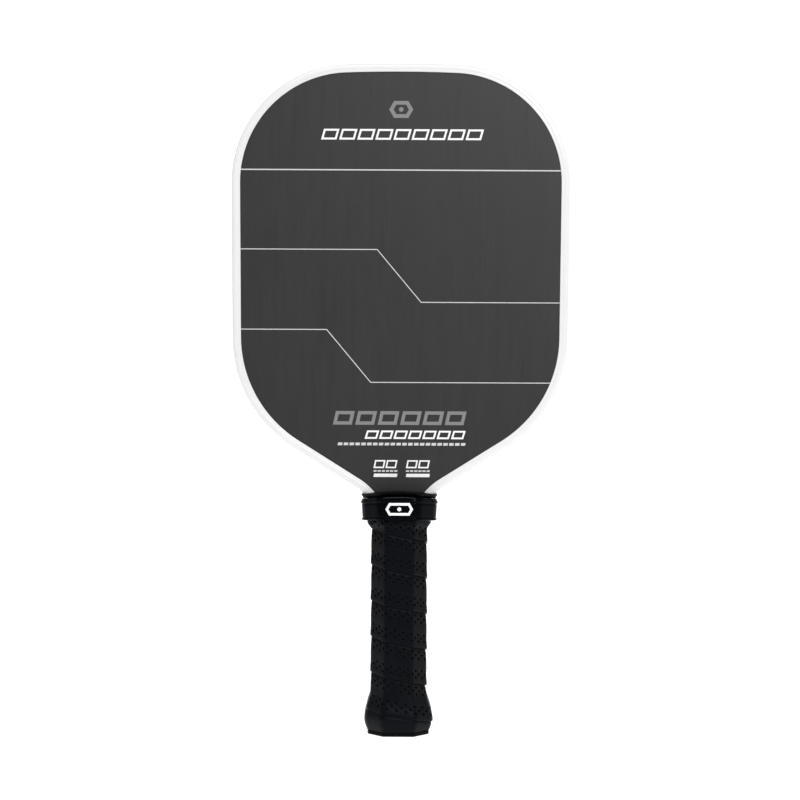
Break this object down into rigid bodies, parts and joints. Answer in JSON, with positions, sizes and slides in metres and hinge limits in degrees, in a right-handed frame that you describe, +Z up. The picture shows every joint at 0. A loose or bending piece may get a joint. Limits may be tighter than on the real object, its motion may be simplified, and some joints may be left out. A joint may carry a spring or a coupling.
{
  "type": "pickleball paddle",
  "caption": "Flat honeycomb-cored paddle with carbon faces, a white edge guard, and a wrapped eight-sided handle with a flared butt and a sliding rubber collar.",
  "frame": {"origin": "centre of the butt's end face, where the upright paddle stands", "axes": "+Z up along the paddle from the butt to the head, +X across the head, -Y out of the front face"},
  "size_m": [0.2032, 0.0408, 0.4013],
  "materials": {
    "core_polymer": "satin",
    "scrim_fleece": "matte",
    "carbon_sheet": "matte",
    "guard_white": "gloss",
    "foam_tape": "matte",
    "shell_black": "satin",
    "cap_black": "satin",
    "tack_steel": "satin",
    "badge_black": "gloss",
    "grip_black": "satin",
    "tape_black": "satin",
    "collar_rubber": "satin",
    "emblem_white": "satin"
  },
  "bodies": {
    "paddle": {"honeycomb_core": "core_polymer", "core_scrim_front": "scrim_fleece", "core_scrim_back": "scrim_fleece", "face_sheet_front": "carbon_sheet", "face_sheet_back": "carbon_sheet", "edge_guard": "guard_white", "edge_guard_tape": "foam_tape", "handle_shell_front": "shell_black", "handle_shell_back": "shell_black", "butt_cap": "cap_black", "butt_cap_tacks": "tack_steel", "butt_badge": "badge_black", "grip_wrap": "grip_black", "grip_finishing_tape": "tape_black"},
    "collar": {"rubber_collar": "collar_rubber", "collar_emblem": "emblem_white"}
  },
  "joints": [
    {"name": "collar_slide", "type": "slide", "parent": "paddle", "child": "collar", "axis": [0, 0, -1], "range_m": [0, 0.1]}
  ]
}
